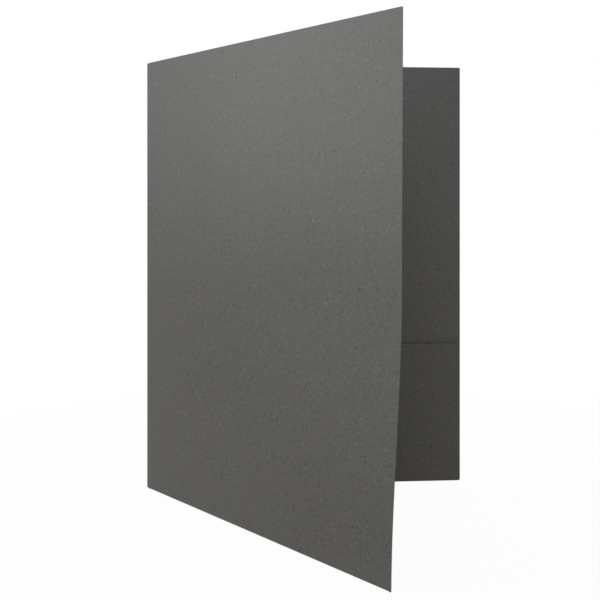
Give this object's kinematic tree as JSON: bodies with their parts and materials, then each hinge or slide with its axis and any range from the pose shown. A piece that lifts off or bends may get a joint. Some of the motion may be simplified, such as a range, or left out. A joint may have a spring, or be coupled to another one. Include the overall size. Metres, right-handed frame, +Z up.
{
  "type": "two pocket folder",
  "caption": "Plain card presentation folder that stands part open on its bottom folds, with a glued pocket inside each cover to hold letter size sheets.",
  "frame": {"origin": "foot of the hinge axis that the spine is rolled round, on the surface that the folder stands on", "axes": "+Z up along the hinge axis, +X along the back cover to its free edge, -Y from the back cover towards the inside of the folder, where the front cover swings"},
  "size_m": [0.2286, 0.1713, 0.3048],
  "materials": {
    "card": "matte uncoated charcoal card",
    "adhesive": "dried glue film"
  },
  "bodies": {
    "back": {"back_cover": "card", "spine_fold": "card", "right_pocket_fold": "card", "right_pocket": "card", "right_side_fold": "card", "right_glue_tab": "card", "right_glue_line": "adhesive"},
    "front": {"front_cover": "card", "left_pocket_fold": "card", "left_pocket": "card", "left_side_fold": "card", "left_glue_tab": "card", "left_glue_line": "adhesive"}
  },
  "joints": [
    {"name": "cover_turn", "type": "hinge", "parent": "back", "child": "front", "pos_m": [0, 0, 0], "axis": [0, 0, -1], "range_deg": [-48, 132], "deforming": ["spine_fold"]}
  ]
}
